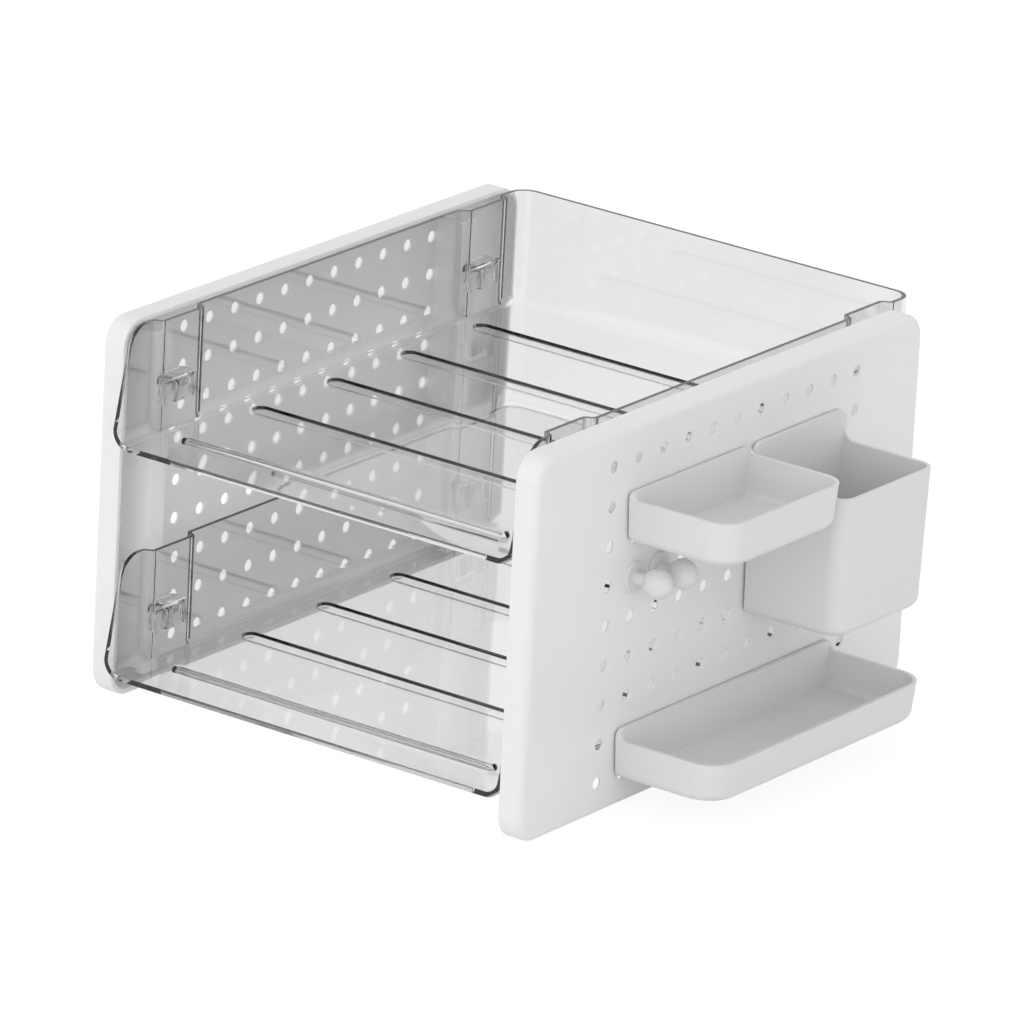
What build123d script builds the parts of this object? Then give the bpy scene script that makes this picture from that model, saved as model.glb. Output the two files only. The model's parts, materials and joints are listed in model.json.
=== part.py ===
from build123d import *
from math import acos, cos, degrees, radians, sin
import os

# A two-tier desk organizer: two white pegboard sides carry two clear letter trays on hooks,
# and small white holders plug into the peg holes of the right side.
# Millimetres. X runs across the rack, Y from front to back, Z up from the desk.

# Pegboard sides
rack_width = 278.2            # outer face to outer face of the two sides
panel_depth = 317.0
panel_height = 194.0
panel_thickness = 13.3        # outer face to the free edge of the flange
panel_skin = 2.5
flange_wall = 2.5
panel_corner_radius = 13.0    # corners of the outline, seen from the side
panel_edge_bevel = 2.4        # bevel round the outer face
panel_stagger = 20.0          # the left side stands this much further back

# Peg holes
hole_pitch = 20.0
hole_diameter = 6.0           # across the flats where a hole is drawn with few sides
hole_sides = 8
hole_front_margin = 61.0      # front edge to the first column
hole_back_margin = 54.0       # back edge to the last column, at least
hole_bottom_margin = 16.0     # bottom edge to the lowest row
hole_top_margin = 16.0        # top edge to the highest row, at least

# Clear trays
tray_height = 59.4
tray_wall = 2.2
tray_floor = 2.8
tray_back_radius = 10.5       # upright corners at the back
tray_floor_radius = 9.5       # rounding from wall to floor, outside
tray_side_gap = 4.8           # flange edge to tray wall
tray_setback = 8.0            # front of the right side to the front of the trays
tray_back_margin = 2.5        # back of the trays to the back of the left side
lower_tray_rise = 16.6        # desk to the underside of the lower tray
front_rake = 11.4             # how far the wall's front edge leans back
front_top_radius = 13.0
lip_depth = 5.5
lip_height = 4.2
lip_edge_radius = 1.2
floor_groove_pitch = 60.0
floor_groove_back_offset = 53.5   # back wall to the middle of the last groove
floor_groove_front_offset = 24.0  # tray front to the middle of the first groove, at least
floor_groove_end_gap = 15.5       # outside of the tray's wall to the end of a groove
floor_groove_width = 10.0
floor_groove_depth = 1.3
floor_groove_slope = 40.0         # lean of its sides from upright, in degrees

# Hook stations, where the trays hang on the sides
front_station = 44.0          # tray front to the middle of the front station
rear_station = 36.0           # tray back to the middle of the rear station
channel_width = 31.0
channel_inset = 4.7
rail_clearance = 1.2          # rail to each side of the channel
rail_entry = 1.2              # how far the rail reaches into the channel
rail_wall = 2.0
rail_face = 2.4
rail_end_margin = 8.0         # panel edge to each end of the rail
groove_width = 6.4
hook_rise = 25.4              # tray underside to the seat of the hook
hook_width = 24.0
hook_thickness = 2.6
hook_drop = 4.0               # how far the hook's lip reaches down behind the rail face
hook_lip = 2.4
hook_clearance = 0.5
window_side = 0.8             # free space beside the hook in its window
key_thickness = 1.4           # the two middle ribs and the two end ribs under a hook
key_height = 9.0
key_clearance = 0.4

# Holders that plug into the right side
stand_off = 1.2               # collar between a holder and the panel
stud_clearance = 0.2
stud_reach = 2.5              # stud length past the inner face of the skin
stud_chamfer = 0.8
collar_diameter = 9.0
holder_wall = 2.0
holder_floor = 2.2
holder_plate = 2.4
plate_end_margin = 8.5        # outer stud to the end of the back plate
plate_top_margin = 5.0        # stud row to the top of the back plate
holder_floor_bevel = 3.6      # bevel round the underside
holder_draft = 1.5            # how much narrower each wall stands at the floor
small_tray_reach = 60.0       # back face to front face
small_tray_rise = 3.4         # back plate above the rim
small_tray_height = 22.6      # underside to rim
small_tray_corner = 13.0      # upright corners at the front
small_tray_plate_corner = 3.0  # top corners of the back plate
small_tray_sweep = 2.4         # hollow curve from the back plate down to the rim
pen_cup_reach = 57.0
pen_cup_rise = 16.0
pen_cup_foot = 23.0           # lower studs to the underside
pen_cup_corner = 9.0
pen_cup_plate_corner = 6.0
pen_cup_sweep = 7.0
long_tray_reach = 60.0
long_tray_rise = 5.3
long_tray_height = 20.4
long_tray_corner = 15.0
long_tray_plate_corner = 4.0
long_tray_sweep = 3.6

# Ball pegs
peg_disc_diameter = 16.0
peg_disc_thickness = 2.0
peg_neck_diameter = 6.5
peg_ball_diameter = 15.2
peg_ball_stand = 14.6         # panel face to the middle of the ball
peg_sides = 12
peg_ball_bands = 6
peg_pole_angle = 76.0         # where the ball's small flat pole begins, from its equator

# The hole grid fills each side between its margins
hole_columns = int((panel_depth - hole_front_margin - hole_back_margin) / hole_pitch) + 1
hole_rows = int((panel_height - hole_bottom_margin - hole_top_margin) / hole_pitch) + 1

# Where each holder plugs in: columns from the front, rows from the top
middle_column = hole_columns // 2
small_tray_columns = (1, middle_column)
small_tray_rows = (1,)
pen_cup_columns = (middle_column + 1, hole_columns - 2)
pen_cup_rows = (1, hole_rows // 2)
long_tray_columns = (1, middle_column, hole_columns - 2)
long_tray_rows = (hole_rows - 2,)
peg_front_column = 1
peg_rear_column = 2
peg_row = 3

# Derived places
panel_face = rack_width / 2
flange_edge = panel_face - panel_thickness
skin_inside = panel_face - panel_skin
pair_depth = panel_depth + panel_stagger
right_front = -pair_depth / 2
left_front = right_front + panel_stagger
tray_half = flange_edge - tray_side_gap
tray_front = right_front + tray_setback
tray_length = pair_depth - tray_setback - tray_back_margin
floor_groove_length = 2 * (tray_half - floor_groove_end_gap)
floor_groove_room = tray_length - tray_wall - floor_groove_back_offset - floor_groove_front_offset
floor_groove_count = int(floor_groove_room / floor_groove_pitch) + 1
upper_tray_z = panel_height - tray_height
tray_levels = (upper_tray_z, lower_tray_rise)
station_places = (front_station, tray_length - rear_station)
inset_face = tray_half - channel_inset
rail_front = tray_half - rail_entry
rail_back = rail_front + rail_face
rail_width = channel_width - 2 * rail_clearance
hook_tip = rail_back + hook_clearance + hook_lip
holder_back = panel_face + stand_off
pen_cup_full = plate_top_margin + (pen_cup_rows[-1] - pen_cup_rows[0]) * hole_pitch + pen_cup_foot
pen_cup_height = pen_cup_full - pen_cup_rise
longest_reach = max(small_tray_reach, pen_cup_reach, long_tray_reach)
origin_shift = (holder_back + longest_reach - panel_face) / 2


def hole_y(column):
    """Depth of a column of holes on the right side."""
    return right_front + hole_front_margin + column * hole_pitch


def hole_z(row):
    """Height of a row of holes, counted from the top."""
    return hole_bottom_margin + (hole_rows - 1 - row) * hole_pitch


def slab(x0, x1, y0, y1, z0, z1):
    """A block between two corners."""
    block = Box(x1 - x0, y1 - y0, z1 - z0)
    return Pos((x0 + x1) / 2, (y0 + y1) / 2, (z0 + z1) / 2) * block


def side_view(middle_y, middle_z, x=0.0):
    """A drawing plane that looks at the rack's side, drawn in Y and Z."""
    return Plane((x, middle_y, middle_z), x_dir=(0, 1, 0), z_dir=(1, 0, 0))


def hook_rail(middle_y):
    """A slotted upright rail on the panel's inside, with a window for each tray's hook."""
    profile = Pos((rail_front + panel_face - panel_skin / 2) / 2, middle_y) * Rectangle(
        panel_face - panel_skin / 2 - rail_front, rail_width)
    profile -= Pos((rail_back + skin_inside) / 2, middle_y) * Rectangle(
        skin_inside - rail_back, rail_width - 2 * rail_wall)
    profile -= Pos(rail_front, middle_y) * Rectangle(2 * rail_face, groove_width)
    rail = Pos(0, 0, rail_end_margin) * extrude(profile, panel_height - 2 * rail_end_margin)
    half_window = hook_width / 2 + window_side
    for level in tray_levels:
        seat = level + hook_rise
        opening = hook_thickness + hook_drop + hook_clearance
        rail -= slab(rail_front - rail_face, rail_back + rail_face / 2,
                     middle_y - half_window, middle_y + half_window, seat, seat + opening)
    return rail


def peg_hole(clearance=0.0):
    """Outline of a peg hole, or of the stud that fits it, drawn with few sides."""
    return RegularPolygon(hole_diameter / 2 - clearance, hole_sides, major_radius=False)


def peg_grid(round_corners):
    """The grid of holes. Its four corner holes can be truly round, to take screws."""
    spots = GridLocations(hole_pitch, hole_pitch, hole_columns, hole_rows)
    corners = GridLocations((hole_columns - 1) * hole_pitch, (hole_rows - 1) * hole_pitch, 2, 2)
    corner_places = [corner.position for corner in corners]
    holes = Sketch()
    for spot in spots:
        is_corner = any((spot.position - place).length < hole_pitch / 2 for place in corner_places)
        holes += spot * (Circle(hole_diameter / 2) if round_corners and is_corner else peg_hole())
    return holes


def pegboard_side(front, round_corners):
    """The right side: a shallow shell, open inwards, with a grid of peg holes and two rails."""
    middle = side_view(front + panel_depth / 2, panel_height / 2, flange_edge)
    outline = RectangleRounded(panel_depth, panel_height, panel_corner_radius)
    shell = extrude(middle * outline, panel_thickness)
    shell = chamfer(shell.faces().sort_by(Axis.X)[-1].edges(), panel_edge_bevel)
    hollow = RectangleRounded(panel_depth - 2 * flange_wall, panel_height - 2 * flange_wall,
                              panel_corner_radius - flange_wall)
    shell -= extrude(middle * hollow, panel_thickness - panel_skin)
    for place in station_places:
        shell += hook_rail(tray_front + place)
    grid_y = front + hole_front_margin + (hole_columns - 1) * hole_pitch / 2
    grid_z = hole_bottom_margin + (hole_rows - 1) * hole_pitch / 2
    return shell - extrude(side_view(grid_y, grid_z, skin_inside) * peg_grid(round_corners), panel_skin)


def tray_block(half_width, front, back, height, back_radius, floor_radius):
    """A block with rounded lower edges along both sides and rounded upright corners at the back."""
    section = Pos(0, height / 2) * Rectangle(2 * half_width, height)
    section = fillet(section.vertices().group_by(Axis.Y)[0], floor_radius)
    block = Pos(0, back) * extrude(Plane.XZ * section, back - front)
    plan = Pos(0, (front + back) / 2) * Rectangle(2 * half_width, back - front)
    plan = fillet(plan.vertices().group_by(Axis.Y)[-1], back_radius)
    return block & extrude(plan, height)


def tray_hook(middle_y):
    """The hook on the outside of a channel: a shelf with a lip, two keys in the groove, two end ribs."""
    root = inset_face - tray_wall / 2
    top = hook_rise + hook_thickness
    lip_inside = rail_back + hook_clearance
    shelf = Plane.XZ * make_face(Polyline(
        (root, hook_rise), (lip_inside, hook_rise), (lip_inside, hook_rise - hook_drop),
        (hook_tip, hook_rise - hook_drop), (hook_tip, top), (root, top), close=True))
    hook = Pos(0, middle_y + hook_width / 2) * extrude(shelf, hook_width)
    key_side = groove_width / 2 - key_clearance
    for outer, tip in ((key_side, rail_back), (hook_width / 2, rail_front - key_clearance)):
        for side in (-1, 1):
            rib_y = middle_y + side * (outer - key_thickness / 2)
            hook += slab(root, tip, rib_y - key_thickness / 2, rib_y + key_thickness / 2,
                         hook_rise - key_height, hook_rise)
    return hook


def on_both_sides(shape):
    """A shape of the right wall together with its mirror image on the left wall."""
    return shape + mirror(shape, Plane.YZ)


def floor_groove():
    """A shallow groove to cut across the tray floor, its round ends drawn with few sides."""
    outline = Rectangle(floor_groove_length, floor_groove_width)
    outline = chamfer(outline.vertices(), floor_groove_width / (2 + 2 ** 0.5))
    return extrude(outline, -floor_groove_depth, taper=floor_groove_slope)


def letter_tray():
    """A clear tray, open at the front, with its underside at zero height and its front at zero depth."""
    outer = tray_block(tray_half, 0, tray_length, tray_height, tray_back_radius, tray_floor_radius)
    inner = tray_block(tray_half - tray_wall, -lip_depth, tray_length - tray_wall, tray_height,
                       tray_back_radius - tray_wall, tray_floor_radius - tray_wall)
    tray = outer - Pos(0, 0, tray_floor) * inner
    tray += lip()
    for place in station_places:
        side = channel_width / 2
        liner = slab(inset_face - tray_wall, tray_half, place - side - tray_wall, place + side + tray_wall,
                     0, tray_height) & outer
        channel = slab(inset_face, tray_half + tray_wall, place - side, place + side,
                       -tray_floor, tray_height + tray_wall)
        tray += on_both_sides(liner)
        tray -= on_both_sides(channel)
        tray += on_both_sides(tray_hook(place))
    last_groove = tray_length - tray_wall - floor_groove_back_offset
    for number in range(floor_groove_count):
        tray -= Pos(0, last_groove - number * floor_groove_pitch, tray_floor) * floor_groove()
    return tray & wall_profile()


def lip():
    """The thicker bar along the tray's front edge."""
    half = tray_half - tray_floor_radius
    bar = slab(-half, half, 0, lip_depth, 0, lip_height)
    return fillet(bar.edges().filter_by(Axis.X).group_by(Axis.Z)[-1], lip_edge_radius)


def wall_profile():
    """Side view of the tray: the walls' front edges lean back and round over into the rim."""
    profile = make_face(Polyline((0, 0), (tray_length, 0), (tray_length, tray_height),
                                 (front_rake, tray_height), (0, tray_floor_radius), close=True))
    corner = profile.vertices().group_by(Axis.Y)[-1].sort_by(Axis.X)[0]
    profile = fillet(corner, front_top_radius)
    return extrude(side_view(0, 0, -panel_face) * profile, rack_width)


def holder_block(reach, width, height, full, corner, back, shrink, bevel):
    """A block for a holder: front corners rounded, walls leaning in below the rim, the foot bevelled."""
    levels = [(bevel, holder_draft), (height, 0), (full, 0)]
    if bevel > 0:
        levels.insert(0, (0, holder_draft + bevel))
    rings = []
    for level, inward in levels:
        side = width / 2 - shrink - inward
        front = reach - shrink - inward
        ring = Pos((back + front) / 2, 0, level) * Rectangle(front - back, 2 * side)
        rings.append(fillet(ring.vertices().group_by(Axis.X)[-1], corner - shrink))
    return loft(rings, ruled=True)


def studs(columns, rows, top_row_z, middle_y):
    """Push-in studs with collars, on the back of a holder."""
    length = stand_off + panel_skin + stud_reach
    pin = extrude(side_view(0, 0, -length) * peg_hole(stud_clearance), length)
    pin = chamfer(pin.faces().sort_by(Axis.X)[0].edges(), stud_chamfer)
    collar = RegularPolygon(collar_diameter / 2, hole_sides, major_radius=False)
    stud = pin + extrude(side_view(0, 0, -stand_off) * collar, stand_off)
    group = Part()
    for column in columns:
        for row in rows:
            group += Pos(0, hole_y(column) - middle_y, hole_z(row) - top_row_z) * stud
    return group


def holder(reach, height, rise, corner, plate_corner, sweep_radius, columns, rows):
    """An open holder with a raised back plate, hung on the right side by its studs."""
    middle_y = (hole_y(columns[0]) + hole_y(columns[-1])) / 2
    width = hole_y(columns[-1]) - hole_y(columns[0]) + 2 * plate_end_margin
    full = height + rise
    body = holder_block(reach, width, height, full, corner, 0, 0, holder_floor_bevel)
    body -= Pos(0, 0, holder_floor) * holder_block(
        reach, width, height - holder_floor, full, corner, holder_plate, holder_wall, 0)
    cut = make_face(Polyline((holder_plate, full + rise), (holder_plate, height), (reach + rise, height),
                             (reach + rise, full + rise), close=True))
    inner_corner = cut.vertices().group_by(Axis.Y)[0].sort_by(Axis.X)[0]
    cut = fillet(inner_corner, sweep_radius)
    body -= Pos(0, width) * extrude(Plane.XZ * cut, 2 * width)
    plate = Rectangle(width, 2 * full)
    plate = fillet(plate.vertices().group_by(Axis.Y)[-1], plate_corner)
    body &= extrude(side_view(0, 0) * plate, reach)
    row_z = full - plate_top_margin
    body += Pos(0, 0, row_z) * studs(columns, rows, hole_z(rows[0]), middle_y)
    return Pos(holder_back, middle_y, hole_z(rows[0]) - row_z) * body


def turned(profile, widest):
    """A turned form drawn with few sides: the same side view cut through itself from every pair of sides."""
    right = [(radius, level) for level, radius in profile]
    left = [(-radius, level) for level, radius in reversed(profile)]
    view = extrude(Plane.XZ * make_face(Polyline(*right, *left, close=True)), widest, both=True)
    form = view
    for turn in range(1, peg_sides // 2):
        form &= Rot(0, 0, turn * 360 / peg_sides) * view
    return form


def ball_peg(column):
    """A push-in peg: stud, base disc, slim neck and a round head."""
    pin = hole_diameter / 2 - stud_clearance
    disc = peg_disc_diameter / 2
    neck = peg_neck_diameter / 2
    ball = peg_ball_diameter / 2
    pin_end = -panel_skin - stud_reach
    profile = [(pin_end, pin - stud_chamfer), (pin_end + stud_chamfer, pin), (0, pin),
               (0, disc), (peg_disc_thickness, disc), (peg_disc_thickness, neck)]
    neck_angle = -degrees(acos(neck / ball))
    for band in range(peg_ball_bands + 1):
        angle = radians(neck_angle + (peg_pole_angle - neck_angle) * band / peg_ball_bands)
        profile.append((peg_ball_stand + ball * sin(angle), ball * cos(angle)))
    peg = Rot(0, 90, 0) * turned(profile, disc)
    return Pos(panel_face, hole_y(column), hole_z(peg_row)) * peg


tray = letter_tray()
pieces = {
    "left_panel": mirror(pegboard_side(left_front, True), Plane.YZ),
    "right_panel": pegboard_side(right_front, False),
    "upper_tray": Pos(0, tray_front, upper_tray_z) * tray,
    "lower_tray": Pos(0, tray_front, lower_tray_rise) * tray,
    "small_tray": holder(small_tray_reach, small_tray_height, small_tray_rise, small_tray_corner,
                         small_tray_plate_corner, small_tray_sweep, small_tray_columns, small_tray_rows),
    "pen_cup": holder(pen_cup_reach, pen_cup_height, pen_cup_rise, pen_cup_corner,
                      pen_cup_plate_corner, pen_cup_sweep, pen_cup_columns, pen_cup_rows),
    "long_tray": holder(long_tray_reach, long_tray_height, long_tray_rise, long_tray_corner,
                        long_tray_plate_corner, long_tray_sweep, long_tray_columns, long_tray_rows),
    "front_ball_peg": ball_peg(peg_front_column),
    "rear_ball_peg": ball_peg(peg_rear_column),
}

os.makedirs("parts", exist_ok=True)
for name, piece in pieces.items():
    placed = Pos(-origin_shift, 0, 0) * piece
    box = placed.bounding_box()
    print(name, len(placed.solids()), [round(v, 2) for v in (*box.min, *box.max)], round(placed.volume))
    export_step(placed, "parts/" + name + ".step")
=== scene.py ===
# %% [markdown]
# A two-tier desk organizer. Two white pegboard sides carry two clear letter trays on hooks, and a
# small tray, a pen cup, a long tray and two ball pegs plug into the holes of the right side.
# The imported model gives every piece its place, so the lesson starts by loading it as a fixed frame.

# %% Load the frame
import json
import math

import bmesh
import bpy
from mathutils import Matrix, Vector


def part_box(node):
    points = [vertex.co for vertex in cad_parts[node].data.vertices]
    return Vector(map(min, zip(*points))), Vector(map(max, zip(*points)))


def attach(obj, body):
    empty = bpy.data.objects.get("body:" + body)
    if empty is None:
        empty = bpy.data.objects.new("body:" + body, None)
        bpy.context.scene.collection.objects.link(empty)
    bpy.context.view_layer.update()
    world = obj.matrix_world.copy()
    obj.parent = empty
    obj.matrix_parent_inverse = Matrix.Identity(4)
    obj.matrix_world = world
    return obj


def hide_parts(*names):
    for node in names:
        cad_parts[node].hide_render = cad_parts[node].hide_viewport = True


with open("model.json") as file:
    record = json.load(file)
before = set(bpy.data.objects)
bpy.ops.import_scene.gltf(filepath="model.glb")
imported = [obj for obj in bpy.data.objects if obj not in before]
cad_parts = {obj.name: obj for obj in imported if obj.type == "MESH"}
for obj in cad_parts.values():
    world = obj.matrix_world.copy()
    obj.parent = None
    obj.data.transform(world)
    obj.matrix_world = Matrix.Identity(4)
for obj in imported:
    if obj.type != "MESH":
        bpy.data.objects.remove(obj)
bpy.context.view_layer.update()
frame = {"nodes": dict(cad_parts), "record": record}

MM = 0.001
print("nodes", sorted(frame["nodes"]))

# %% [markdown]
# Shader colours are linear, but a maker reads colours as sRGB hex values, so one function converts.
# A second small function adds a node, sets it up and links its inputs, and does it for every kind.

# %% Colour and node helpers


def linear(hex_colour):
    """An sRGB hex colour as linear red, green, blue and alpha."""
    channels = [int(hex_colour[place:place + 2], 16) / 255 for place in (1, 3, 5)]
    return [c / 12.92 if c <= 0.04045 else ((c + 0.055) / 1.055) ** 2.4 for c in channels] + [1.0]


def add(tree, kind, inputs=None, **settings):
    """Adds a node: settings are its properties, inputs are values or sockets to link."""
    node = tree.nodes.new(kind)
    for name, value in settings.items():
        setattr(node, name, value)
    for name, value in (inputs or {}).items():
        if isinstance(value, bpy.types.NodeSocket):
            tree.links.new(value, node.inputs[name])
        else:
            node.inputs[name].default_value = value
    return node


def new_material(name):
    """An empty node material and its output node."""
    material = bpy.data.materials.new(name)
    material.use_nodes = True
    material.node_tree.nodes.clear()
    return material, add(material.node_tree, "ShaderNodeOutputMaterial")


# %% [markdown]
# The sides and holders are white ABS, injection-moulded in a tool with a fine spark-eroded texture.
# That texture scatters the gloss into a satin, so the eye sees soft shading and no sharp reflections.
# Real spark texture is about 0.15 mm across, too fine to show here, so its grain is drawn at 0.6 mm.
# A second, slow noise stands for the slight unevenness in shade that any large moulding has.

# %% White moulded ABS
ABS_IOR = 1.53
SATIN_LOW = 0.40
SATIN_HIGH = 0.52
SPARK_GRAIN = 0.6 * MM
SPARK_DEPTH = 0.05 * MM
SPARK_STRENGTH = 0.12
SHADE_PATCH = 45 * MM


def moulded_white_abs(name, pale, deep):
    """Satin white ABS with a spark texture: colours are its palest and deepest shade."""
    material, output = new_material(name)
    tree = material.node_tree
    place = add(tree, "ShaderNodeTexCoord").outputs["Object"]
    patch = add(tree, "ShaderNodeTexNoise", {"Vector": place, "Scale": 1 / SHADE_PATCH, "Detail": 2.0})
    shade = add(tree, "ShaderNodeMix", {
        "Factor": patch.outputs["Fac"], "A": linear(deep), "B": linear(pale)}, data_type="RGBA")
    grain = add(tree, "ShaderNodeTexNoise", {"Vector": place, "Scale": 1 / SPARK_GRAIN, "Detail": 3.0})
    satin = add(tree, "ShaderNodeMapRange", {
        "Value": grain.outputs["Fac"], "To Min": SATIN_LOW, "To Max": SATIN_HIGH})
    bump = add(tree, "ShaderNodeBump", {
        "Height": grain.outputs["Fac"], "Strength": SPARK_STRENGTH, "Distance": SPARK_DEPTH})
    shader = add(tree, "ShaderNodeBsdfPrincipled", {
        "Base Color": shade.outputs["Result"], "Roughness": satin.outputs["Result"],
        "Normal": bump.outputs["Normal"], "IOR": ABS_IOR})
    tree.links.new(shader.outputs["BSDF"], output.inputs["Surface"])
    return material


panel_white = moulded_white_abs("white_abs_panel", "#E9E9E9", "#E6E6E6")
# The holders and pegs are the same white ABS as the sides. This copy is painted a few steps darker as
# painted shade, which tones down the light on their faces.
holder_white_painted_shade = moulded_white_abs("white_abs_holder_painted_shade", "#DFDFDF", "#DCDCDC")
print("white plastics", panel_white.name, holder_white_painted_shade.name)

# %% [markdown]
# The trays are crystal polystyrene, moulded in a polished tool, so they are glossy and see-through.
# Polystyrene bends light strongly, with an index of 1.59, which draws dark lines along grooves and
# rims. A pale grey tint dims what is seen through each wall a little, and a faint absorption darkens
# only the long paths inside the plastic, as it does on the real edges.
# Moulded sheets are never quite flat: a slow, shallow ripple makes what is behind waver a little.

# %% Clear moulded polystyrene
POLYSTYRENE_IOR = 1.59
POLISH_ROUGHNESS = 0.02
FLOW_RIPPLE = 30 * MM
RIPPLE_DEPTH = 0.2 * MM
RIPPLE_STRENGTH = 0.15
ABSORPTION_PER_METRE = 3.0


def clear_polystyrene(name):
    """Glossy see-through polystyrene with faint flow ripples and a little absorption."""
    material, output = new_material(name)
    tree = material.node_tree
    place = add(tree, "ShaderNodeTexCoord").outputs["Object"]
    flow = add(tree, "ShaderNodeTexNoise", {"Vector": place, "Scale": 1 / FLOW_RIPPLE, "Detail": 1.0})
    bump = add(tree, "ShaderNodeBump", {
        "Height": flow.outputs["Fac"], "Strength": RIPPLE_STRENGTH, "Distance": RIPPLE_DEPTH})
    shader = add(tree, "ShaderNodeBsdfPrincipled", {
        "Base Color": linear("#E9E9E9"), "Roughness": POLISH_ROUGHNESS, "IOR": POLYSTYRENE_IOR,
        "Transmission Weight": 1.0, "Normal": bump.outputs["Normal"]})
    body = add(tree, "ShaderNodeVolumeAbsorption", {
        "Color": linear("#DADADA"), "Density": ABSORPTION_PER_METRE})
    tree.links.new(shader.outputs["BSDF"], output.inputs["Surface"])
    tree.links.new(body.outputs["Volume"], output.inputs["Volume"])
    return material


tray_clear = clear_polystyrene("clear_polystyrene_tray")
print("clear plastic", tray_clear.name)

# %% [markdown]
# Mouldings are stacks of outlines with a skin drawn over them, so a rounded edge is a real arc and
# costs only a few more outlines. Arcs, skins, turned forms and blocks are the only shapes needed.
# Booleans then join or cut them, as a mould maker adds and removes steel. Large faces count most in
# the shading, so that a flat stays flat beside a round.

# %% Shape helpers
ARC_STEPS = 8
ROUND_SIDES = 40
EDGE_STEPS = 4
SHARP_FROM = math.radians(35)
LARGE_FACE_WEIGHT = 100
WELD = 0.002 * MM


def arc(across, up, radius, start, end):
    """Points on an arc about a centre, between two angles in degrees."""
    turns = [math.radians(start + (end - start) * step / ARC_STEPS) for step in range(ARC_STEPS + 1)]
    return [(across + radius * math.cos(turn), up + radius * math.sin(turn)) for turn in turns]


def rounded_rectangle(low, high, radius):
    """Outline between two corners (across, up), its corners rounded."""
    left, bottom = low[0] + radius, low[1] + radius
    right, top = high[0] - radius, high[1] - radius
    return (arc(right, bottom, radius, -90, 0) + arc(right, top, radius, 0, 90)
            + arc(left, top, radius, 90, 180) + arc(left, bottom, radius, 180, 270))


def new_piece(name, form):
    """A new object that holds a finished form."""
    mesh = bpy.data.meshes.new(name)
    form.to_mesh(mesh)
    form.free()
    piece = bpy.data.objects.new(name, mesh)
    bpy.context.scene.collection.objects.link(piece)
    return piece


def loft(name, stacks):
    """Closed skins over stacks of outlines; in one stack every outline has the same number of points."""
    form = bmesh.new()
    for stack in stacks:
        loops = [[form.verts.new(point) for point in outline] for outline in stack]
        for near, far in zip(loops, loops[1:]):
            for i in range(len(near)):
                form.faces.new((near[i - 1], near[i], far[i], far[i - 1]))
        form.faces.new(loops[0])
        form.faces.new(loops[-1])
    bmesh.ops.recalc_face_normals(form, faces=form.faces)
    return new_piece(name, form)


def turned(name, profile, centres):
    """Equal round forms on lines along X: a profile of (x, radius) steps about each centre (y, z)."""
    turns = [math.tau * side / ROUND_SIDES for side in range(ROUND_SIDES)]
    return loft(name, [[[(x, y + radius * math.cos(turn), z + radius * math.sin(turn)) for turn in turns]
                        for x, radius in profile] for y, z in centres])


def blocks(name, corners):
    """One object of separate blocks, each between its lowest and highest corner."""
    form = bmesh.new()
    for low, high in corners:
        size = Matrix.Diagonal((*(high - low), 1.0))
        bmesh.ops.create_cube(form, size=1.0, matrix=Matrix.Translation((low + high) / 2) @ size)
    return new_piece(name, form)


def combine(piece, tool, operation):
    """Joins a tool to a piece or cuts the piece with it, and throws the tool away."""
    change = piece.modifiers.new("combine", "BOOLEAN")
    change.operation = operation
    change.solver = "EXACT"
    change.object = tool
    settle(piece)
    bpy.data.objects.remove(tool)


def settle(piece):
    """Makes what a piece's modifiers show its real mesh."""
    shown = piece.evaluated_get(bpy.context.evaluated_depsgraph_get())
    piece.data = bpy.data.meshes.new_from_object(shown)
    piece.modifiers.clear()


def soften(piece, width):
    """Rounds sharp edges a little, as a polished mould does, and shades the round faces smooth."""
    if width > 0:
        edge = piece.modifiers.new("edge", "BEVEL")
        edge.width = width
        edge.segments = EDGE_STEPS
        edge.limit_method = "ANGLE"
        edge.angle_limit = SHARP_FROM
        settle(piece)
    piece.data.shade_smooth()
    piece.data.set_sharp_from_angle(angle=SHARP_FROM)
    flats = piece.modifiers.new("flats", "WEIGHTED_NORMAL")
    flats.weight = LARGE_FACE_WEIGHT
    flats.keep_sharp = True
    settle(piece)


def cad_copy(name, node_name):
    """A welded copy of a CAD node's mesh, free to be refined."""
    source = frame["nodes"][node_name].data
    form = bmesh.new()
    corners = [form.verts.new(vertex.co) for vertex in source.vertices]
    for face in source.polygons:
        form.faces.new([corners[i] for i in face.vertices])
    bmesh.ops.remove_doubles(form, verts=form.verts, dist=WELD)
    bmesh.ops.recalc_face_normals(form, faces=form.faces)
    return new_piece(name, form)


def stands_for(piece, node_name, finish):
    """Dresses a piece, puts it in the place of its CAD node and lets it move with that node's body."""
    record = frame["record"]
    piece.data.materials.clear()
    piece.data.materials.append(finish)
    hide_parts(node_name)
    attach(piece, next(b for b, nodes in record["behaviour"]["bodies"].items() if node_name in nodes))
    print(piece.name, "stands for", node_name, "with", len(piece.data.polygons), "faces")


# %% [markdown]
# Each pegboard side is one shallow moulded shell: a thin skin with a flange all round, open inwards.
# It could be a solid with a shell tool, but a stack of outlines gives the rounded outer edge, the
# rounded free edge of the flange and the fillet inside in one go. The outlines run from the outer
# face over the flange and down into the hollow. The skin is drawn 1.5 mm thick, thinner than in the
# CAD, so that the holes look as open as in the photograph. Two rails for the trays' hooks stand
# inside. Only the half of each rail that leaves the holes free is shown, because the photographed
# holes show no rail behind them. The 99 holes with a slight countersink are cut last.

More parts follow.
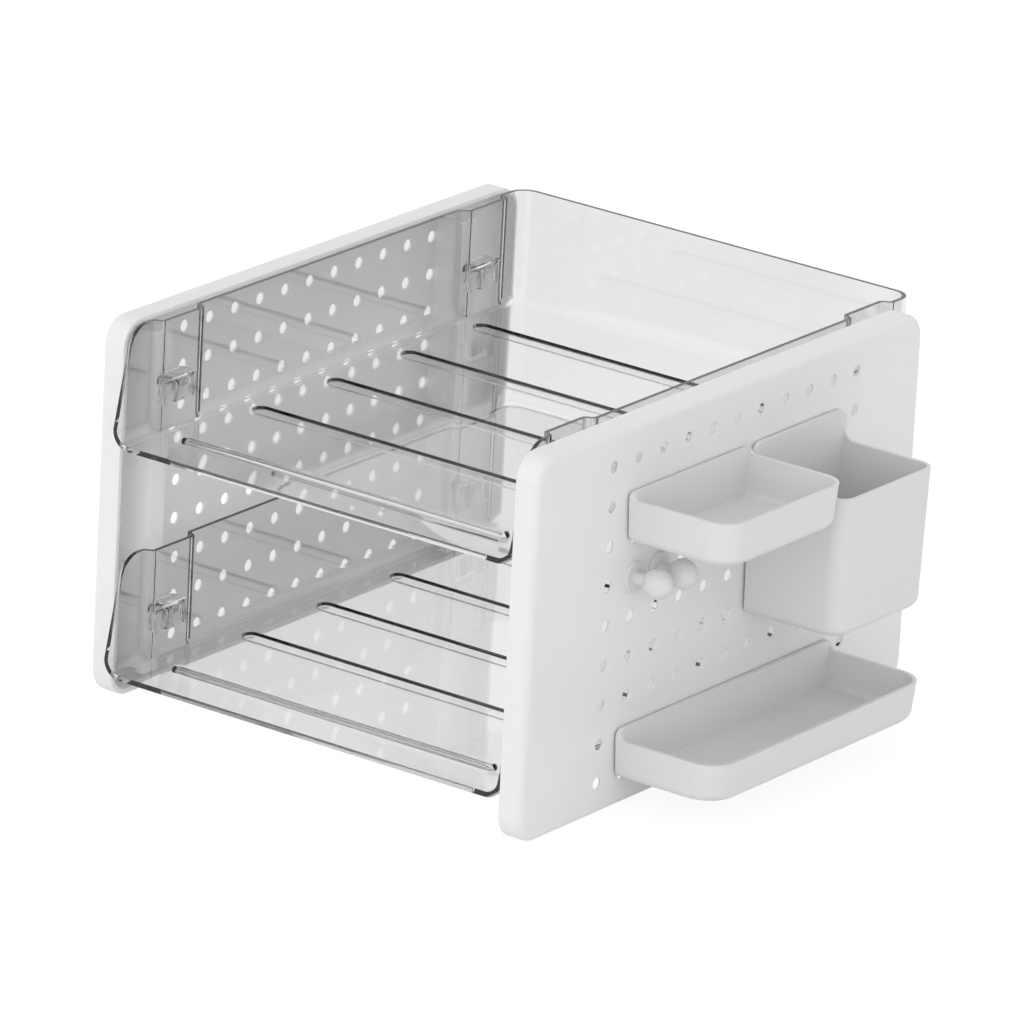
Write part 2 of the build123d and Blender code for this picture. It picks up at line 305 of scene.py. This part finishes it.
# %% Pegboard sides
PANEL_THICKNESS = 13.3 * MM
PANEL_SKIN = 1.5 * MM
FLANGE_WALL = 2.5 * MM
PANEL_CORNER = 13.0 * MM
OUTER_ROUND = 3.5 * MM
FREE_EDGE_ROUND = 0.5 * MM
INNER_FILLET = 1.0 * MM
HOLE_PITCH = 20.0 * MM
HOLE_RADIUS = 3.0 * MM
HOLE_COLUMNS = 11
HOLE_ROWS = 9
HOLE_FRONT_MARGIN = 61.0 * MM
HOLE_BOTTOM_MARGIN = 16.0 * MM
COUNTERSINK = 0.35 * MM
PAST_FACE = 0.05 * MM
FRONT_STATION = 44.0 * MM
REAR_STATION = 36.0 * MM
RAIL_OUTER_SIDE = 14.4 * MM
RAIL_INNER_SIDE = 3.2 * MM
RAIL_ROOM_MARGIN = 4.0 * MM


def panel_shell(name, face, outward, low, high):
    """The shell alone: outlines from the outer face, over the flange, into the hollow."""
    edge = FREE_EDGE_ROUND
    deep = PANEL_THICKNESS - edge
    path = arc(OUTER_ROUND, OUTER_ROUND, OUTER_ROUND, 180, 270)
    path += arc(deep, edge, edge, 270, 360)
    path += arc(deep, FLANGE_WALL - edge, edge, 0, 90)
    path += arc(PANEL_SKIN + INNER_FILLET, FLANGE_WALL + INNER_FILLET, INNER_FILLET, 270, 180)
    outlines = []
    for depth, inset in path:
        ring = rounded_rectangle((low.y + inset, low.z + inset), (high.y - inset, high.z - inset),
                                 PANEL_CORNER - inset)
        outlines.append([(face - outward * depth, y, z) for y, z in ring])
    return loft(name, [outlines])


def hook_rails(node_name, inside, outward):
    """Half of each rail, taken over from the CAD node with a little of the skin under it."""
    rails = cad_copy(node_name + "_rails", node_name)
    tray_low, tray_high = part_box("upper_tray")
    low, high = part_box(node_name)
    root = inside + outward * PANEL_SKIN / 4
    front = inside - outward * 2 * PANEL_THICKNESS
    near_half = (-RAIL_OUTER_SIDE, -RAIL_INNER_SIDE)
    far_half = (RAIL_INNER_SIDE, RAIL_OUTER_SIDE)
    stations = [(tray_low.y + FRONT_STATION, near_half),
                (tray_high.y - REAR_STATION, near_half if outward < 0 else far_half)]
    rooms = []
    for station, (start, end) in stations:
        rooms.append((Vector((min(root, front), station + start, low.z + RAIL_ROOM_MARGIN)),
                      Vector((max(root, front), station + end, high.z - RAIL_ROOM_MARGIN))))
    combine(rails, blocks("rail_rooms", rooms), "INTERSECT")
    return rails


def hole_cutter(face, inside, outward, front, bottom):
    """A round cutter for every hole of the grid, flared at both faces."""
    flare = HOLE_RADIUS + COUNTERSINK + PAST_FACE
    profile = [(face + outward * PAST_FACE, flare), (face - outward * COUNTERSINK, HOLE_RADIUS),
               (inside + outward * COUNTERSINK, HOLE_RADIUS), (inside - outward * PAST_FACE, flare)]
    centres = [(front + column * HOLE_PITCH, bottom + row * HOLE_PITCH)
               for column in range(HOLE_COLUMNS) for row in range(HOLE_ROWS)]
    return turned("holes", profile, centres)


def pegboard_side(node_name, outward):
    """A whole side; outward is 1 where its outer face looks along +X and -1 along -X."""
    low, high = (Vector(corner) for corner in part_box(node_name))
    face = high.x if outward > 0 else low.x
    inside = face - outward * PANEL_SKIN
    side = panel_shell(node_name + "_moulding", face, outward, low, high)
    combine(side, hook_rails(node_name, inside, outward), "UNION")
    cutter = hole_cutter(face, inside, outward, low.y + HOLE_FRONT_MARGIN, low.z + HOLE_BOTTOM_MARGIN)
    combine(side, cutter, "DIFFERENCE")
    soften(side, 0)
    stands_for(side, node_name, panel_white)


pegboard_side("left_panel", -1)
pegboard_side("right_panel", 1)

# %% [markdown]
# The letter trays are thin clear mouldings: a sheet of even thickness that bends into a floor, three
# walls and four pockets, where the sides' rails reach in. A sharp corner in clear plastic traps light
# and turns black, so every bend here is a true round, with the same thickness all the way through it.
# A stack of outlines gives the outside, a smaller one the hollow, and upright cutters the pockets.
# The hooks are taken over from the CAD mesh, because they have to meet the rails exactly.
# Cutters reach past the faces that they cut by FAR, or by NEAR where there is little room.

# %% Clear letter trays
TRAY_HALF = 121.0 * MM
TRAY_FLOOR = 2.8 * MM
TRAY_WALL = 2.2 * MM
TRAY_EDGE = 0.95 * MM
TRAY_BACK_CORNER = 10.5 * MM
FLOOR_ROUND = 9.5 * MM
FRONT_RAKE = 11.4 * MM
FRONT_TOP_ROUND = 13.0 * MM
POCKET_HALF = 13.6 * MM
POCKET_INSET = 4.7 * MM
BEND_INSIDE = 2.0 * MM
HOOK_HALF = 12.0 * MM
HOOK_LOW = 15.0 * MM
HOOK_HIGH = 29.0 * MM
FAR = 20.0 * MM
NEAR = 0.01 * MM


def tray_outlines(low, high, front, inset, foot, corner):
    """Outlines of the tray's outside or hollow: rounded along the floor and at the back corners."""
    levels = [(foot - across, foot - up) for across, up in arc(0, 0, foot, 90, 0)]
    levels.append((0, high.z - low.z + FAR))
    middle = (low.x + high.x) / 2
    outlines = []
    for narrow, rise in levels:
        half = TRAY_HALF - inset - narrow
        back = high.y - inset - narrow
        bend = corner - narrow
        ring = [(-half, front), (half, front)] + arc(half - bend, back - bend, bend, 0, 90)
        ring += arc(bend - half, back - bend, bend, 90, 180)
        outlines.append([(middle + x, y, low.z + rise) for x, y in ring])
    return outlines


def pockets(name, low, high, grow, corner, flare):
    """Upright forms of the four pockets, grown by a thickness: a flat face and two bends on each side."""
    middle = (low.x + high.x) / 2
    face = TRAY_HALF - grow
    turn = math.degrees(math.acos(1 - POCKET_INSET / (corner + flare)))
    mouth = POCKET_HALF + (corner + flare) * math.sin(math.radians(turn))
    bends = arc(face - POCKET_INSET + corner, POCKET_HALF, corner, 180, 180 - turn)
    bends += arc(face - flare, mouth, flare, -turn, 0)[1:] + [(TRAY_HALF + FAR, mouth)]
    plan = [(x, -y) for x, y in reversed(bends)] + bends
    stacks = []
    for station in (low.y + FRONT_STATION, high.y - REAR_STATION):
        for side in (-1, 1):
            stacks.append([[(middle + side * x, station + y, z) for x, y in plan]
                           for z in (low.z - FAR, high.z + 2 * FAR)])
    return loft(name, stacks)


def front_cutter(low, high):
    """Takes off the front and the top: the walls' front edges lean back and round over into the rim."""
    rake = math.atan2(FRONT_RAKE, high.z - low.z - FLOOR_ROUND)
    up = high.z - low.z - FRONT_TOP_ROUND
    back = (up - FLOOR_ROUND) * math.tan(rake) + FRONT_TOP_ROUND / math.cos(rake)
    view = [(-FAR, -FAR), (0, -FAR), (0, FLOOR_ROUND)]
    view += arc(back, up, FRONT_TOP_ROUND, 180 - math.degrees(rake), 90)
    view += [(high.y - low.y + FAR, high.z - low.z), (high.y - low.y + FAR, high.z - low.z + 2 * FAR)]
    view += [(-FAR, high.z - low.z + 2 * FAR)]
    return loft("front_cutter", [[[(x, low.y + y, low.z + z) for y, z in view]
                                  for x in (low.x - FAR, high.x + FAR)]])


def hooks(node_name, low, high):
    """The four hooks, taken over from the CAD node, with a little of the sheet to join them by."""
    found = cad_copy(node_name + "_hooks", node_name)
    middle = (low.x + high.x) / 2
    root = TRAY_HALF - POCKET_INSET - TRAY_WALL / 2
    rooms = []
    for station in (low.y + FRONT_STATION, high.y - REAR_STATION):
        for start, end in ((low.x - FAR, middle - root), (middle + root, high.x + FAR)):
            rooms.append((Vector((start, station - HOOK_HALF - NEAR, low.z + HOOK_LOW)),
                          Vector((end, station + HOOK_HALF + NEAR, low.z + HOOK_HIGH))))
    combine(found, blocks("hook_rooms", rooms), "INTERSECT")
    return found


def tray_sheet(node_name, low, high):
    """The tray as a bent sheet with its hooks."""
    bend_outside = BEND_INSIDE + TRAY_WALL
    front = low.y - FAR
    outside = tray_outlines(low, high, front, 0, FLOOR_ROUND, TRAY_BACK_CORNER)
    tray = loft(node_name + "_moulding", [outside])
    combine(tray, pockets("pockets", low, high, 0, BEND_INSIDE, bend_outside), "DIFFERENCE")
    floor_top = Vector((low.x, low.y, low.z + TRAY_FLOOR))
    inside = tray_outlines(floor_top, high, front - FAR, TRAY_WALL, FLOOR_ROUND - TRAY_WALL,
                           TRAY_BACK_CORNER - TRAY_WALL)
    hollow = loft("hollow", [inside])
    combine(hollow, pockets("islands", low, high, TRAY_WALL, bend_outside, BEND_INSIDE), "DIFFERENCE")
    combine(tray, hollow, "DIFFERENCE")
    combine(tray, front_cutter(low, high), "DIFFERENCE")
    soften(tray, TRAY_EDGE)
    combine(tray, hooks(node_name, low, high), "UNION")
    return tray


# %% [markdown]
# Four shallow grooves run across the floor, so that a sheet of paper doesn't cling to it, and a bead
# under each keeps the sheet's thickness. A groove shows as a dark line, because its far side throws
# the light into the sheet, so its sides are real arcs. In front of them stands one hollow ridge.

# %% Grooves and ridge in the tray floors
GROOVE_PITCH = 60.0 * MM
GROOVE_BACK_OFFSET = 53.5 * MM
GROOVE_COUNT = 4
GROOVE_LENGTH = 211.0 * MM
GROOVE_WIDTH = 10.0 * MM
GROOVE_DEPTH = 1.3 * MM
GROOVE_BRIM = 0.5 * MM
GROOVE_HOLLOW = 0.8 * MM
GROOVE_CUT_FROM = 1.0 * MM
BRIM_START = 85
BEAD_DROP = 1.2 * MM
BEAD_ROUND = 1.1 * MM
RIDGE_OFFSET = 26.3 * MM
RIDGE_LENGTH = 197.0 * MM
RIDGE_WIDTH = 8.0 * MM
RIDGE_HEIGHT = 2.6 * MM
RIDGE_ROUND = 2.4 * MM
RIDGE_SHELL = 2.4 * MM


def bars(name, places, length, width, levels):
    """Bars along X with round ends, one at each place; levels are steps of inset and height."""
    stacks = []
    for place in places:
        stack = []
        for inset, level in levels:
            half = Vector((length / 2 - inset, width / 2 - inset))
            ring = rounded_rectangle((-half.x, -half.y), (half.x, half.y), half.y - NEAR)
            stack.append([(place.x + x, place.y + y, place.z + level) for x, y in ring])
        stacks.append(stack)
    return loft(name, stacks)


def rounded_top(foot, top, radius):
    """Levels of a bar that stands on its foot and is rounded over at the top."""
    return [(0, foot)] + [(-across, up) for across, up in arc(-radius, top - radius, radius, 0, 90)]


def grooves_and_beads(tray, places):
    """Smooth grooves with rounded brims, and a bead under each that keeps the sheet's thickness."""
    low_side = TRAY_FLOOR + BEAD_DROP
    bead = [(0, -TRAY_FLOOR / 2), (0, -TRAY_FLOOR)]
    bead += arc(BEAD_ROUND, BEAD_ROUND - low_side, BEAD_ROUND, 180, 270)[1:]
    combine(tray, bars("beads", places, GROOVE_LENGTH, GROOVE_WIDTH, bead), "UNION")
    side = GROOVE_BRIM + GROOVE_HOLLOW
    groove = [(0, GROOVE_CUT_FROM)] + arc(0, -GROOVE_BRIM, GROOVE_BRIM, BRIM_START, 0)
    groove += arc(side, GROOVE_HOLLOW - GROOVE_DEPTH, GROOVE_HOLLOW, 180, 270)[1:]
    combine(tray, bars("grooves", places, GROOVE_LENGTH, GROOVE_WIDTH, groove), "DIFFERENCE")


def front_ridge(tray, place):
    """The hollow ridge near the front edge."""
    outside = rounded_top(-TRAY_FLOOR / 2, RIDGE_HEIGHT, RIDGE_ROUND)
    combine(tray, bars("ridge", [place], RIDGE_LENGTH, RIDGE_WIDTH, outside), "UNION")
    inside = rounded_top(-2 * TRAY_FLOOR, RIDGE_HEIGHT - RIDGE_SHELL, RIDGE_ROUND / 2)
    thinner = 2 * RIDGE_SHELL
    hollow = bars("hollow", [place], RIDGE_LENGTH - thinner, RIDGE_WIDTH - thinner, inside)
    combine(tray, hollow, "DIFFERENCE")


def letter_tray(node_name):
    """A clear tray with its hooks, grooves and ridge."""
    low, high = (Vector(corner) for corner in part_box(node_name))
    middle = (low.x + high.x) / 2
    top = low.z + TRAY_FLOOR
    last = high.y - TRAY_WALL - GROOVE_BACK_OFFSET
    rows = [last - number * GROOVE_PITCH for number in range(GROOVE_COUNT)]
    tray = tray_sheet(node_name, low, high)
    grooves_and_beads(tray, [Vector((middle, row, top)) for row in rows])
    front_ridge(tray, Vector((middle, low.y + RIDGE_OFFSET, top)))
    soften(tray, 0)
    stands_for(tray, node_name, tray_clear)


letter_tray("upper_tray")
letter_tray("lower_tray")

# %% [markdown]
# The holders are open boxes of white ABS with a raised back plate. Their walls lean out a little
# towards the rim, so that the moulding leaves its tool, and the foot is well rounded. A stack of
# outlines gives the outside, a smaller one cuts the hollow, and a long cutter with a hollow curve
# takes the walls down to the rim and leaves the plate standing. Studs with collars go on the back.

# %% Holders
HOLDER_WALL = 2.0 * MM
HOLDER_FLOOR = 2.2 * MM
HOLDER_PLATE = 2.4 * MM
HOLDER_DRAFT = 1.5 * MM
FOOT_ROUND = 5.0 * MM
HOLDER_EDGE = 0.4 * MM
STAND_OFF = 1.2 * MM
COLLAR_RADIUS = 4.5 * MM
STUD_RADIUS = 2.8 * MM
STUD_CHAMFER = 0.8 * MM
PLATE_END_MARGIN = 8.5 * MM
PLATE_TOP_MARGIN = 5.0 * MM


def holder_outlines(reach, side, height, full, corner, back, bottom, foot):
    """Outlines of a holder's body, from its rounded foot to the top of its plate."""
    levels = [(foot - across, foot - up) for across, up in arc(0, 0, foot, 90, 0)]
    levels += [(0, height - bottom), (0, full - bottom)]
    outlines = []
    for inset, rise in levels:
        lean = max(0.0, HOLDER_DRAFT * (1 - (bottom + rise) / height))
        out = reach - inset - lean
        half = side - inset - lean
        ring = [(back, -half)] + arc(out - corner, corner - half, corner, -90, 0)
        ring += arc(out - corner, half - corner, corner, 0, 90) + [(back, half)]
        outlines.append([(x, y, bottom + rise) for x, y in ring])
    return outlines


def plate_cutter(reach, side, height, full, sweep):
    """Takes the walls down to the rim and leaves the back plate, with a hollow curve between them."""
    far = reach + full
    view = [(HOLDER_PLATE, 2 * full)] + arc(HOLDER_PLATE + sweep, height + sweep, sweep, 180, 270)
    view += [(far, height), (far, 2 * full)]
    return loft("plate_cutter", [[[(x, y, z) for x, z in view] for y in (-2 * side, 2 * side)]])


def plate_form(reach, side, full, corner):
    """The back plate's outline, drawn forward through the whole holder."""
    view = [(-side, -full), (side, -full)] + arc(side - corner, full - corner, corner, 0, 90)
    view += arc(corner - side, full - corner, corner, 90, 180)
    return loft("plate_form", [[[(x, y, z) for y, z in view] for x in (-full, reach + full)]])


def holder(node_name, rise, corner, plate_corner, sweep, columns, rows):
    """A holder in the box of its node: columns and rows of studs, counted from its front and top."""
    low, high = (Vector(box_corner) for box_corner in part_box(node_name))
    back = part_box("right_panel")[1][0] + STAND_OFF
    side = (high.y - low.y) / 2
    reach = high.x - back
    full = high.z - low.z
    height = full - rise
    outside = holder_outlines(reach, side, height, full, corner, 0, 0, FOOT_ROUND)
    body = loft(node_name + "_moulding", [outside])
    inside = holder_outlines(reach - HOLDER_WALL, side - HOLDER_WALL, height, 2 * full,
                             corner - HOLDER_WALL, HOLDER_PLATE, HOLDER_FLOOR, FOOT_ROUND - HOLDER_WALL)
    combine(body, loft("hollow", [inside]), "DIFFERENCE")
    combine(body, plate_cutter(reach, side, height, full, sweep), "DIFFERENCE")
    combine(body, plate_form(reach, side, full, plate_corner), "INTERSECT")
    end = low.x - back
    pin = [(HOLDER_PLATE / 2, COLLAR_RADIUS), (-STAND_OFF, COLLAR_RADIUS), (-STAND_OFF, STUD_RADIUS),
           (end + STUD_CHAMFER, STUD_RADIUS), (end, STUD_RADIUS - STUD_CHAMFER)]
    centres = [(PLATE_END_MARGIN - side + column * HOLE_PITCH, full - PLATE_TOP_MARGIN - row * HOLE_PITCH)
               for column in columns for row in rows]
    soften(body, HOLDER_EDGE)
    combine(body, turned("studs", pin, centres), "UNION")
    soften(body, 0)
    body.data.transform(Matrix.Translation((back, (low.y + high.y) / 2, low.z)))
    stands_for(body, node_name, holder_white_painted_shade)


holder("small_tray", rise=3.4 * MM, corner=13.0 * MM, plate_corner=3.0 * MM, sweep=2.4 * MM,
       columns=(0, 4), rows=(0,))
holder("pen_cup", rise=16.0 * MM, corner=9.0 * MM, plate_corner=6.0 * MM, sweep=7.0 * MM,
       columns=(0, 3), rows=(0, 3))
holder("long_tray", rise=5.3 * MM, corner=15.0 * MM, plate_corner=4.0 * MM, sweep=3.6 * MM,
       columns=(0, 4, 8), rows=(0,))

# %% [markdown]
# The two ball pegs are turned forms: a stud, a base disc, a slim neck and a round head. One profile
# along the peg's axis, spun round, is the natural way to draw them.

# %% Ball pegs
DISC_RADIUS = 8.0 * MM
DISC_THICKNESS = 2.0 * MM
DISC_EDGE = 0.6 * MM
NECK_RADIUS = 3.25 * MM
BALL_RADIUS = 7.6 * MM
BALL_STAND = 14.6 * MM
POLE_ANGLE = 88


def ball_peg(node_name):
    """A push-in peg, spun about the middle of its node's box."""
    low, high = (Vector(corner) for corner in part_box(node_name))
    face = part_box("right_panel")[1][0]
    edge = DISC_THICKNESS - DISC_EDGE
    neck_angle = -math.degrees(math.acos(NECK_RADIUS / BALL_RADIUS))
    profile = [(low.x - face, STUD_RADIUS - STUD_CHAMFER), (low.x - face + STUD_CHAMFER, STUD_RADIUS),
               (0, STUD_RADIUS), (0, DISC_RADIUS)]
    profile += [(along, radius) for radius, along in arc(DISC_RADIUS - DISC_EDGE, edge, DISC_EDGE, 0, 90)]
    profile += [(DISC_THICKNESS, NECK_RADIUS)]
    head = arc(0, BALL_STAND, BALL_RADIUS, neck_angle, POLE_ANGLE)
    profile += [(along, radius) for radius, along in head]
    centre = ((low.y + high.y) / 2, (low.z + high.z) / 2)
    peg = turned(node_name + "_moulding", [(face + along, radius) for along, radius in profile], [centre])
    soften(peg, 0)
    stands_for(peg, node_name, holder_white_painted_shade)


ball_peg("front_ball_peg")
ball_peg("rear_ball_peg")

# %% [markdown]
# The stage is a sheet of studio paper under a soft white dome. To the light that falls on the object
# it is plain pale paper, which throws light back up. To the eye, also through gloss and clear
# plastic, it is darker paper with a glow: the glow makes the open paper white, and the paper's own
# shading under it keeps the object's soft shadow.

# %% Floor
FLOOR_SIZE = 12.0
FLOOR_DROP = 0.2 * MM
FLOOR_THICKNESS = 10.0 * MM
PAPER_GLOW = 0.9


def seen_rays(tree):
    """1 for rays that a viewer follows to a surface, straight or by way of gloss and clear plastic."""
    path = add(tree, "ShaderNodeLightPath").outputs
    straight = add(tree, "ShaderNodeMath", {0: path["Is Camera Ray"], 1: path["Is Glossy Ray"]},
                   operation="MAXIMUM")
    return add(tree, "ShaderNodeMath", {0: straight.outputs[0], 1: path["Is Transmission Ray"]},
               operation="MAXIMUM").outputs[0]


def studio_paper():
    """White paper that looks white and still keeps the object's soft shadow."""
    material, output = new_material("studio_paper")
    tree = material.node_tree
    paper = add(tree, "ShaderNodeBsdfDiffuse", {"Color": linear("#F2F2F2")})
    shadow = add(tree, "ShaderNodeBsdfDiffuse", {"Color": linear("#6B6B6B")})
    glow = add(tree, "ShaderNodeEmission", {"Strength": PAPER_GLOW})
    white = add(tree, "ShaderNodeAddShader", {0: shadow.outputs[0], 1: glow.outputs[0]})
    pick = add(tree, "ShaderNodeMixShader", {0: seen_rays(tree), 1: paper.outputs[0], 2: white.outputs[0]})
    tree.links.new(pick.outputs[0], output.inputs["Surface"])
    return material


corner = Vector((FLOOR_SIZE / 2, FLOOR_SIZE / 2, 0))
top = Vector((0, 0, -FLOOR_DROP))
floor = blocks("floor", [(-corner - Vector((0, 0, FLOOR_THICKNESS)), corner + top)])
floor.data.materials.append(studio_paper())
print("floor", floor.name, "with", PAPER_GLOW, "glow")

# %% [markdown]
# The light is a large soft dome, as a white tent gives: much brighter in front than behind, a little
# darker on the right and about half as bright straight above. It is drawn in the world by direction,
# so it needs no lamps. The eye, also through gloss and clear plastic, meets plain white instead.

# %% Light
FRONT_LIGHT = 1.8
BACK_LIGHT = 0.94
RIGHT_SHADE = 0.1
TOP_SHADE = 0.48

world = bpy.data.worlds.new("studio_dome")
bpy.context.scene.world = world
world.use_nodes = True
world.node_tree.nodes.clear()


def ramp(tree, value, low, start, end):
    """Runs from start to end while a value runs from its low end to 1."""
    change = add(tree, "ShaderNodeMapRange", {
        "Value": value, "From Min": low, "From Max": 1.0, "To Min": start, "To Max": end})
    return change.outputs["Result"]


def product(tree, one, other):
    """One value times another."""
    return add(tree, "ShaderNodeMath", {0: one, 1: other}, operation="MULTIPLY").outputs[0]


def dome(tree):
    """White light that depends on direction, and plain white for the rays that a viewer follows."""
    direction = add(tree, "ShaderNodeTexCoord").outputs["Generated"]
    way = add(tree, "ShaderNodeSeparateXYZ", {0: direction}).outputs
    depth = ramp(tree, way["Y"], -1.0, FRONT_LIGHT, BACK_LIGHT)
    shade = ramp(tree, way["X"], 0.0, 1.0, 1.0 - RIGHT_SHADE)
    above = ramp(tree, way["Z"], 0.0, 1.0, 1.0 - TOP_SHADE)
    strength = product(tree, product(tree, depth, shade), above)
    white = linear("#FFFFFF")
    light = add(tree, "ShaderNodeBackground", {"Color": white, "Strength": strength})
    plain = add(tree, "ShaderNodeBackground", {"Color": white, "Strength": 1.0})
    pick = add(tree, "ShaderNodeMixShader", {0: seen_rays(tree), 1: light.outputs[0], 2: plain.outputs[0]})
    add(tree, "ShaderNodeOutputWorld", {"Surface": pick.outputs[0]})


dome(world.node_tree)
print("light", world.name, "from", FRONT_LIGHT, "in front to", BACK_LIGHT, "behind")

# %% [markdown]
# The camera stands far back with a long lens, to the right of the front and about 19 degrees up.
# Its place was solved from the holes and the tray edges, so the view follows the real product.

# %% Camera
CAMERA_PLACE = Vector((2.7562, -3.8673, 1.7701))
CAMERA_RIGHT = Vector((0.80009, 0.59776, 0.05044))
CAMERA_DOWN = Vector((0.23713, -0.23792, -0.94189))
SENSOR = 36.0
FOCAL = 362.2

camera_data = bpy.data.cameras.new("camera")
camera_data.sensor_width = SENSOR
camera_data.lens = FOCAL
camera = bpy.data.objects.new("camera", camera_data)
bpy.context.scene.collection.objects.link(camera)
backward = CAMERA_RIGHT.cross(-CAMERA_DOWN)
turn = Matrix((CAMERA_RIGHT, -CAMERA_DOWN, backward)).transposed()
camera.matrix_world = Matrix.Translation(CAMERA_PLACE) @ turn.to_4x4()
bpy.context.scene.camera = camera
bpy.context.scene.view_settings.view_transform = "Standard"
print("camera", [round(v, 3) for v in camera.location], "lens", FOCAL)

# %% [markdown]
# A ray crosses many faces on its way through two clear trays, so light paths are long. Light that is
# thrown back inside a sheet counts as gloss. Five such turns keep the rounded edges from going black
# and leave the grooves as dark as on the real trays. Gloss isn't blurred, so fine lines stay sharp.

# %% Light paths
paths = bpy.context.scene.cycles
paths.blur_glossy = 0.0
paths.max_bounces = 48
paths.transmission_bounces = 24
paths.glossy_bounces = 5
print("light paths", paths.max_bounces, "turns at most,", paths.glossy_bounces, "of them gloss")
